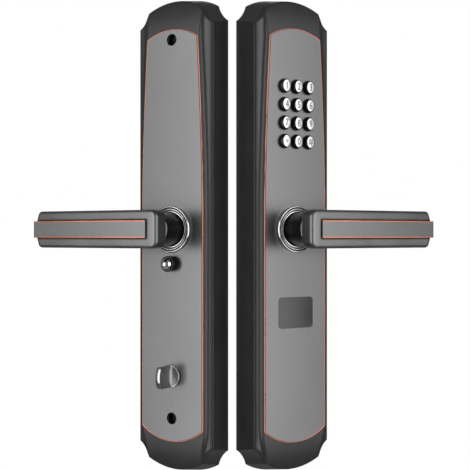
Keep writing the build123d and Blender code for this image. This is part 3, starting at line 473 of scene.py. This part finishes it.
CUTTER = (120.0, 15.0, 3.0)     # length, height and depth of the bar that cuts the inlay's groove
CUTTER_PAST_ROOT = 1.4          # how far the bar starts before the inlay's root
CUTTER_LIFT = 0.6               # from the lever's skin up to the middle of the bar
CUTTER_CORNER = 1.2
INLAY_PROUD = 0.6               # how far the inlay stands above the lever's skin
NECK_BELOW_SKIN = 13.7          # faces deeper than this get the neck's darker gunmetal, painted shade
for unit, side in (("outer", 1), ("inner", -1)):
    lever = looked_like(unit + "_lever", unit + "_lever_casting", flatten=False)
    (left, right), _, (_, front) = reach(unit + "_lever_inlay", unit)
    root = left if side > 0 else right
    skin = front - INLAY_PROUD * MM
    bpy.ops.object.select_all(action="DESELECT")
    bpy.ops.mesh.primitive_cube_add(size=1, scale=[side_length * MM for side_length in CUTTER])
    groove = bpy.context.object
    groove.name = unit + "_groove_cutter"
    middle = side * (CUTTER[0] / 2 - CUTTER_PAST_ROOT)
    groove.data.transform(Matrix.Translation((middle * MM, 0, CUTTER_LIFT * MM)))
    eased_corner = groove.modifiers.new("corner", "BEVEL")
    eased_corner.width = CUTTER_CORNER * MM
    eased_corner.segments = 4
    bpy.ops.object.modifier_apply(modifier="corner")
    groove.data.transform(seat(unit, root, 0, skin))
    fused(lever, groove, "DIFFERENCE")
    bpy.ops.object.select_all(action="DESELECT")
    lever.select_set(True)
    bpy.context.view_layer.objects.active = lever
    bpy.ops.object.shade_smooth_by_angle(angle=radians(30))
    lever.data.materials.append(lever_metal)
    lever.data.materials.append(neck_painted_shade_metal)
    foot, _, outward = unit_axes(unit)
    # Faces deep in the neck get the darker copy, which is painted shade.
    for polygon in lever.data.polygons:
        out = (Vector(polygon.center) - foot).dot(outward) - FACE_DEPTH[unit]
        polygon.material_index = 1 if out < skin - NECK_BELOW_SKIN * MM else 0
    settle(lever, Matrix.Identity(4), None, unit + "_lever", "lever_metal", unit + "_lever")


# ---- Lever inlays
# Brushed gunmetal strips that fill the levers' channels between the copper lines and turn down over
# the tip. They are brushed along the lever.
for unit, turn in (("outer", -33.5), ("inner", 33.0)):
    inlay = brushed_finish(unit + "_inlay_gunmetal", (0.22, 0.22, 0.222), (0.255, 0.255, 0.257),
                           (0.30, 0.38), radians(turn), 2600.0, 40.0, 0.000005)
    coat(inlay, unit + "_lever_inlay")


# ---- Roses and bearings
# Turned brass rings, chromed. The rose lies on the panel with a dark groove between its two bright
# lips, and the bearing bush inside it carries the lever's neck; the grooves' black is painted shade.
def spot_of(node, unit):
    """Right, up and out of the middle of a CAD node, as seat takes them."""
    foot, across, outward = unit_axes(unit)
    low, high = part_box(node)
    middle = (Vector(low) + Vector(high)) / 2 - foot
    return middle.dot(across), middle.z, middle.dot(outward) - FACE_DEPTH[unit]


def turned(name, steps, sides=96, closed=False):
    """An oval or round piece drawn out ring by ring. Each step is half width, half height and depth
    in millimetres. A closed one joins its last ring to its first, and an open one gets two ends."""
    bpy.ops.object.select_all(action="DESELECT")
    wide, tall, depth = (value * MM for value in steps[0])
    bpy.ops.mesh.primitive_circle_add(vertices=sides, radius=1, fill_type="NOTHING" if closed else "NGON")
    piece = bpy.context.object
    piece.name = name
    piece.data.name = name
    bpy.ops.object.mode_set(mode="EDIT")
    bpy.ops.mesh.select_all(action="SELECT")
    bpy.ops.transform.resize(value=(wide, tall, 1), center_override=(0, 0, 0))
    bpy.ops.transform.translate(value=(0, 0, depth))
    if not closed:
        bpy.ops.mesh.select_mode(type="FACE")
    for next_wide, next_tall, next_depth in steps[1:]:
        next_wide, next_tall, next_depth = next_wide * MM, next_tall * MM, next_depth * MM
        move = {"value": (0, 0, next_depth - depth)}
        if closed:
            bpy.ops.mesh.extrude_edges_move(TRANSFORM_OT_translate=move)
        else:
            bpy.ops.mesh.extrude_region_move(TRANSFORM_OT_translate=move)
        bpy.ops.transform.resize(value=(next_wide / wide, next_tall / tall, 1),
                                 center_override=(0, 0, next_depth))
        wide, tall, depth = next_wide, next_tall, next_depth
    bpy.ops.mesh.select_all(action="SELECT")
    bpy.ops.mesh.remove_doubles(threshold=0.000001)
    bpy.ops.mesh.normals_make_consistent(inside=False)
    bpy.ops.object.mode_set(mode="OBJECT")
    bpy.ops.object.shade_smooth_by_angle(angle=radians(32))
    return piece


def ring_steps(profile):
    """Steps of a round piece from radius and depth pairs."""
    return [(radius, radius, depth) for radius, depth in profile]


chrome = skin_finish("bright_chrome", (0.70, 0.70, 0.71), (0.78, 0.78, 0.79), 1.0, (0.05, 0.11), 700.0,
                     0.000004)
satin_chrome = skin_finish("satin_chrome", (0.70, 0.70, 0.71), (0.80, 0.80, 0.81), 1.0, (0.26, 0.32),
                           900.0, 0.000004)
black_chrome = skin_finish("black_chrome", (0.012, 0.012, 0.013), (0.02, 0.02, 0.021), 0.35, (0.14, 0.22),
                           900.0, 0.000005)
ring_chrome = skin_finish("ring_chrome", (0.78, 0.78, 0.79), (0.88, 0.88, 0.89), 1.0, (0.14, 0.20), 900.0,
                          0.000004)
rose_profile = [(18.25, 0.0), (18.25, 1.5), (18.2, 2.0), (18.05, 2.45), (17.8, 2.8), (17.5, 2.97),
                (17.2, 3.0), (16.95, 2.9), (16.8, 2.6), (16.75, 1.4), (16.1, 1.4), (16.05, 2.3),
                (15.95, 2.6), (15.75, 2.75), (15.5, 2.78), (15.25, 2.7), (15.05, 2.45), (14.9, 2.0),
                (14.9, 0.0), (18.25, 0.0)]
bush_profile = [(15.6, -4.9), (15.6, -3.75), (14.3, -3.7), (14.3, 1.4), (14.22, 1.8), (14.05, 2.05),
                (13.8, 2.18), (13.55, 2.2), (13.35, 2.08), (13.25, 1.8), (13.2, 0.9), (12.8, 0.8),
                (12.8, -4.9), (15.6, -4.9)]
SHADED_GROOVES = {"rose": (16.0, 16.85), "bearing": (12.7, 13.3)}      # inner and outer radius, in black chrome as painted shade
GROOVE_TOP = 2.3
for unit in ("outer", "inner"):
    for ring, profile in (("rose", rose_profile), ("bearing", bush_profile)):
        piece = turned(unit + "_" + ring + "_ring", ring_steps(profile), closed=True)
        piece.data.materials.append(ring_chrome)
        piece.data.materials.append(black_chrome)
        inner, outer = SHADED_GROOVES[ring]
        # Groove faces get black chrome: painted shade in the chromed rings' grooves.
        for polygon in piece.data.polygons:
            radius = Vector(polygon.center).xy.length / MM
            in_shaded_groove = inner < radius < outer and 0 < polygon.center.z < GROOVE_TOP * MM
            polygon.material_index = 1 if in_shaded_groove else 0
        settle(piece, seat(unit), None, "housings", "chrome", unit + "_" + ring)


# ---- Return springs
# Wound spring wire, lying in its seat on the mounting plate behind each lever's hub. It turns the
# lever back to level.
def wound(name, radius, wire, height, turns):
    """Coils wound from round wire about Z, standing on the plane of zero depth."""
    bpy.ops.object.select_all(action="DESELECT")
    bpy.ops.mesh.primitive_circle_add(vertices=10, radius=wire * MM, fill_type="NOTHING",
                                      location=(radius * MM, 0, wire * MM), rotation=(radians(90), 0, 0))
    coil = bpy.context.object
    coil.name = name
    coil.data.name = name
    bpy.ops.object.transform_apply(location=True, rotation=True, scale=True)
    winding = coil.modifiers.new("winding", "SCREW")
    winding.angle = radians(360 * turns)
    winding.screw_offset = (height - 2 * wire) * MM
    winding.steps = winding.render_steps = int(48 * turns)
    winding.use_merge_vertices = False
    bpy.ops.object.modifier_apply(modifier="winding")
    bpy.ops.object.mode_set(mode="EDIT")
    bpy.ops.mesh.select_all(action="SELECT")
    bpy.ops.mesh.fill_holes(sides=0)
    bpy.ops.mesh.select_all(action="SELECT")
    bpy.ops.mesh.normals_make_consistent(inside=False)
    bpy.ops.object.mode_set(mode="OBJECT")
    bpy.ops.object.shade_smooth_by_angle(angle=radians(40))
    return coil


spring_steel = skin_finish("spring_steel", (0.30, 0.29, 0.28), (0.44, 0.43, 0.42), 1.0, (0.25, 0.4),
                           1200.0, 0.000008)
coat(spring_steel, "battery_contacts")
COIL_HEIGHT = 4.7
for unit in ("outer", "inner"):
    right, up, out = spot_of(unit + "_return_spring", unit)
    coil = wound(unit + "_return_coil", radius=11.8, wire=0.6, height=COIL_HEIGHT, turns=2.8)
    settle(coil, seat(unit, right, up, out - COIL_HEIGHT / 2 * MM), spring_steel, "housings",
           "spring_steel", unit + "_return_spring")


# ---- Plate screws
# Eight pan-head steel screws with a cross recess, four through each mounting plate into the cover's
# posts. They are seen from the back of the units.
def cross_cutter(reach, width, depth):
    """Two crossed bars for a screw's recess."""
    bpy.ops.object.select_all(action="DESELECT")
    bpy.ops.mesh.primitive_cube_add(size=1, scale=(2 * reach * MM, width * MM, depth * MM))
    bar = bpy.context.object
    bpy.ops.object.mode_set(mode="EDIT")
    bpy.ops.mesh.select_all(action="SELECT")
    bpy.ops.mesh.duplicate()
    bpy.ops.transform.rotate(value=radians(90), orient_axis="Z", center_override=(0, 0, 0))
    bpy.ops.object.mode_set(mode="OBJECT")
    return bar


RIDGES = 15
PITCH = 0.75
SCREWS_RIGHT = 16.0             # from the unit's middle line to either side
SCREW_HEIGHTS = (138.0, -130.0)  # above and below the unit's middle
SPINDLE_RISE = 4.7              # the spindle's height above the unit's middle
shank = [(2.9, 0.1), (2.9, 0.75), (2.6, 1.15), (1.35, 1.2)]
for ridge in range(RIDGES):
    shank += [(1.15, 1.45 + PITCH * ridge), (1.48, 1.8 + PITCH * ridge)]
shank += [(1.1, 12.9), (0.3, 13.0)]
screw = turned("plate_screw", ring_steps(shank), sides=24)
fused(screw, cross_cutter(1.7, 0.7, 1.5), "DIFFERENCE")
screw_meshes = []
for unit in ("outer", "inner"):
    for right in (-SCREWS_RIGHT, SCREWS_RIGHT):
        for height in SCREW_HEIGHTS:
            mesh = screw.data.copy()
            mesh.transform(seat(unit, right * MM, (height - SPINDLE_RISE) * MM, -FACE_DEPTH[unit]))
            screw_meshes.append(mesh)
bpy.data.objects.remove(screw)
screw_set = [bpy.data.objects.new("plate_screw_set", mesh) for mesh in screw_meshes]
bpy.ops.object.select_all(action="DESELECT")
for one in screw_set:
    bpy.context.scene.collection.objects.link(one)
    one.select_set(True)
bpy.context.view_layer.objects.active = screw_set[0]
bpy.ops.object.join()
settle(screw_set[0], Matrix.Identity(4), zinc_steel, "housings", "plain_steel", "plate_screws")


# ---- Circuit boards
# Green lacquered glass-fibre boards with tinned traces. Black chips, a buzzer and pale plug sockets
# stand on their backs.
def trace_board():
    """Green lacquer over tinned traces."""
    material, nodes, links, shader = start_finish("green_board")
    place, scaled = nodes.new("ShaderNodeTexCoord"), nodes.new("ShaderNodeMapping")
    scaled.inputs["Rotation"].default_value = (radians(90), 0, radians(33))
    links.new(place.outputs["Object"], scaled.inputs["Vector"])
    traces = nodes.new("ShaderNodeTexBrick")
    traces.inputs["Scale"].default_value = 160.0
    traces.inputs["Mortar Size"].default_value = 0.035
    traces.inputs["Color1"].default_value = (0, 0, 0, 1)
    traces.inputs["Color2"].default_value = (0.25, 0.25, 0.25, 1)
    traces.inputs["Mortar"].default_value = (1, 1, 1, 1)
    links.new(scaled.outputs["Vector"], traces.inputs["Vector"])
    colour = blend_colours(nodes, links, traces.outputs["Color"], (0.008, 0.075, 0.028),
                           (0.03, 0.20, 0.07))
    links.new(colour, shader.inputs["Base Color"])
    links.new(ranged(nodes, links, traces.outputs["Color"], 0.42, 0.28), shader.inputs["Roughness"])
    relief(nodes, links, shader, traces.outputs["Color"], 0.00003, 0.6)
    return material


green_board = trace_board()
chip_black = skin_finish("chip_plastic", (0.012, 0.012, 0.013), (0.022, 0.022, 0.024), 0.0, (0.5, 0.6),
                         2500.0, 0.00001)
socket_nylon = skin_finish("socket_nylon", (0.62, 0.60, 0.54), (0.70, 0.68, 0.62), 0.0, (0.45, 0.55),
                           1500.0, 0.00001)
# Unit, thickness of the board and height of its tallest component.
BOARDS = {"keypad_board": ("outer", 1.6, 2.0), "card_antenna_board": ("outer", 1.6, 2.0),
          "outer_control_board": ("outer", 1.6, 4.6), "inner_control_board": ("inner", 1.6, 4.6)}
for node, (unit, thick, tall) in BOARDS.items():
    board = looked_like(node, node + "_populated")
    foot, _, outward = unit_axes(unit)
    for material in (green_board, chip_black, socket_nylon):
        board.data.materials.append(material)
    front = max((vertex.co - foot).dot(outward) for vertex in board.data.vertices)
    for polygon in board.data.polygons:
        depth = front - (Vector(polygon.center) - foot).dot(outward)
        if depth < (thick + 0.05) * MM:
            polygon.material_index = 0
        elif depth > (thick + tall * 0.55) * MM:
            polygon.material_index = 2
        else:
            polygon.material_index = 1
    settle(board, Matrix.Identity(4), None, "housings", "circuit_board", node)


# ---- Keys
# Twelve oval push keys: a black plated barrel with a chromed oval cap set in its top. The caps carry
# plain figures in black enamel. A flange behind the panel keeps each one in.
enamel = skin_finish("black_enamel", (0.006, 0.006, 0.006), (0.012, 0.012, 0.012), 0.0, (0.25, 0.35),
                     1200.0, 0.000005)
barrel_steps = [(5.3, 6.2, -2.2), (5.3, 6.2, -1.2), (4.6, 5.5, -1.15), (4.6, 5.5, 1.1), (4.52, 5.43, 2.0),
                (4.32, 5.28, 2.8), (4.05, 5.08, 3.5), (3.78, 4.86, 3.98), (3.6, 4.7, 4.1),
                (3.45, 4.58, 4.08), (3.4, 4.52, 3.8)]
cap_steps = [(3.38, 4.5, 3.75), (3.38, 4.5, 4.06), (3.32, 4.44, 4.2), (3.15, 4.27, 4.28),
             (2.9, 3.98, 4.31), (1.5, 2.1, 4.325), (0.4, 0.6, 4.33)]
FIGURE_TALL = 5.2
STAR_TALL = 3.0
FIGURE_NARROWED = 0.86
FIGURE_FLATNESS = 0.0042        # turns the text's extrusion into a thin skin
FIGURE_DEPTH = 4.18             # height of the figures' middle above the panel
FIGURES = {"key_" + figure: figure for figure in "1234567890"} | {"key_star": "*", "key_hash": "#"}


def figure_mesh(figure, tall):
    """A figure as a thin closed plate, centred on zero in all three ways."""
    bpy.ops.object.select_all(action="DESELECT")
    bpy.ops.object.text_add()
    text = bpy.context.object
    text.data.body = figure
    text.data.extrude = 0.05
    text.data.resolution_u = 3
    bpy.ops.object.convert(target="MESH")
    plate = bpy.context.object
    low = Vector(min(vertex.co[i] for vertex in plate.data.vertices) for i in range(3))
    high = Vector(max(vertex.co[i] for vertex in plate.data.vertices) for i in range(3))
    size = tall * MM / (high.y - low.y)
    centre = Matrix.Translation(-(low + high) / 2)
    plate.data.transform(Matrix.Diagonal((size * FIGURE_NARROWED, size, FIGURE_FLATNESS, 1)) @ centre)
    return plate


for node, figure in FIGURES.items():
    barrel = turned(node + "_button", barrel_steps, sides=48)
    barrel.data.materials.append(black_chrome)
    cap = turned(node + "_cap", cap_steps, sides=48)
    cap.data.materials.append(satin_chrome)
    plate = figure_mesh(figure, STAR_TALL if figure == "*" else FIGURE_TALL)
    plate.data.transform(Matrix.Translation((0, 0, FIGURE_DEPTH * MM)))
    plate.data.materials.append(enamel)
    bpy.ops.object.select_all(action="DESELECT")
    for part in (barrel, cap, plate):
        part.select_set(True)
    bpy.context.view_layer.objects.active = barrel
    bpy.ops.object.join()
    right, up, _ = spot_of(node, "outer")
    settle(barrel, seat("outer", right, up), None, node, "chrome", node)


# ---- Card window
# A smoked, glossy plastic window set flush in the outer panel, which the card is held to. Fine
# hairline scratches from cards make its gloss uneven.
window_plastic = skin_finish("smoked_window", (0.036, 0.036, 0.038), (0.044, 0.044, 0.046), 0.0,
                             (0.08, 0.14), 500.0, 0.000004, shine=0.6)
coat(window_plastic, "card_window")


# ---- Push button
# A chromed, domed button that slides in a turned collar with a black plating, under the inner lever.
# A small coil spring pushes it out again.
coat(black_chrome, "button_collar")
coat(chrome, "push_button")
right, up, out = spot_of("push_button_spring", "inner")
BUTTON_COIL_HEIGHT = 3.3
button_coil = wound("button_coil", radius=4.0, wire=0.3, height=BUTTON_COIL_HEIGHT, turns=4)
_, _, outward = unit_axes("inner")
coil_foot = seat("inner", right, up, out - BUTTON_COIL_HEIGHT / 2 * MM)
settle(button_coil, coil_foot, spring_steel, "housings", "spring_steel", "push_button_spring")
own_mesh(button_coil)


# ---- Thumbturn
# A chromed casting: a round disc with an upright blade whose front is crowned. Its shaft turns the
# deadbolt through the flat tailpiece.
def eased(piece, width):
    """Rounds a piece's sharp edges."""
    rounding = piece.modifiers.new("eased_edges", "BEVEL")
    rounding.width = width * MM
    rounding.segments = 2
    rounding.limit_method = "ANGLE"
    rounding.angle_limit = radians(35)
    rounding.use_clamp_overlap = True
    bpy.context.view_layer.objects.active = piece
    bpy.ops.object.modifier_apply(modifier="eased_edges")
    bpy.ops.object.shade_smooth_by_angle(angle=radians(40))


thumb_chrome = skin_finish("thumbturn_chrome", (0.40, 0.40, 0.41), (0.48, 0.48, 0.49), 1.0, (0.12, 0.18),
                           700.0, 0.000004)
thumb = looked_like("thumbturn", "thumbturn_knob")
eased(thumb, 0.3)
settle(thumb, Matrix.Identity(4), thumb_chrome, "thumbturn", "chrome", "thumbturn")


# ---- Battery holder and cells
# A moulded black cradle on the inner mounting plate, with four AA cells in printed sleeves. Each
# cell has a crimped steel end and a raised contact, and they lie up and down in turn.
holder_plastic = skin_finish("holder_plastic", (0.016, 0.016, 0.017), (0.026, 0.026, 0.028), 0.0,
                             (0.5, 0.62), 1400.0, 0.00003)
coat(holder_plastic, "battery_holder")
cell_profile = [(3.0, -24.25), (6.1, -24.25), (6.9, -24.0), (7.15, -23.5), (7.15, 22.9), (7.0, 23.5),
                (6.5, 23.7), (6.3, 24.1), (5.0, 24.25), (2.7, 24.25), (2.65, 25.2), (2.3, 25.45),
                (0.5, 25.5)]
sleeve_green = skin_finish("cell_sleeve", (0.03, 0.12, 0.05), (0.04, 0.15, 0.06), 0.3, (0.25, 0.35),
                           900.0, 0.000006)
sleeve_gold = skin_finish("cell_band", (0.62, 0.40, 0.14), (0.70, 0.47, 0.18), 0.8, (0.25, 0.35), 900.0,
                          0.000006)
CELL_LIFT = 0.6 * MM            # the profile's middle lies below the middle of the cell with its contact
BAND_FROM = 10.0 * MM           # the sleeve is gold above this and green below
SLEEVE_END = 23.6 * MM
SLEEVE_RADIUS = 6.8 * MM        # faces farther from the axis than this are sleeve
for number in range(1, 5):
    node = "battery_" + str(number)
    cell = turned(node + "_cell", ring_steps(cell_profile), sides=48)
    for material in (zinc_steel, sleeve_green, sleeve_gold):
        cell.data.materials.append(material)
    bpy.ops.object.select_all(action="DESELECT")
    cell.select_set(True)
    bpy.context.view_layer.objects.active = cell
    bpy.ops.object.mode_set(mode="EDIT")
    bpy.ops.mesh.select_all(action="SELECT")
    bpy.ops.mesh.bisect(plane_co=(0, 0, BAND_FROM), plane_no=(0, 0, 1))
    bpy.ops.object.mode_set(mode="OBJECT")
    for polygon in cell.data.polygons:
        side_on = abs(polygon.normal.z) < 0.5 and abs(polygon.center.z) < SLEEVE_END
        if side_on and Vector(polygon.center).xy.length > SLEEVE_RADIUS:
            polygon.material_index = 2 if polygon.center.z > BAND_FROM else 1
    low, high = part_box(node)
    middle = (Vector(low) + Vector(high)) / 2
    nub_up = number % 2 == 0
    flip = Matrix.Identity(4) if nub_up else Matrix.Rotation(radians(180), 4, "X")
    lift = -CELL_LIFT if nub_up else CELL_LIFT
    place = Matrix.Translation(middle + Vector((0, 0, lift))) @ flip
    settle(cell, place, None, "housings", "cell_sleeve", node)
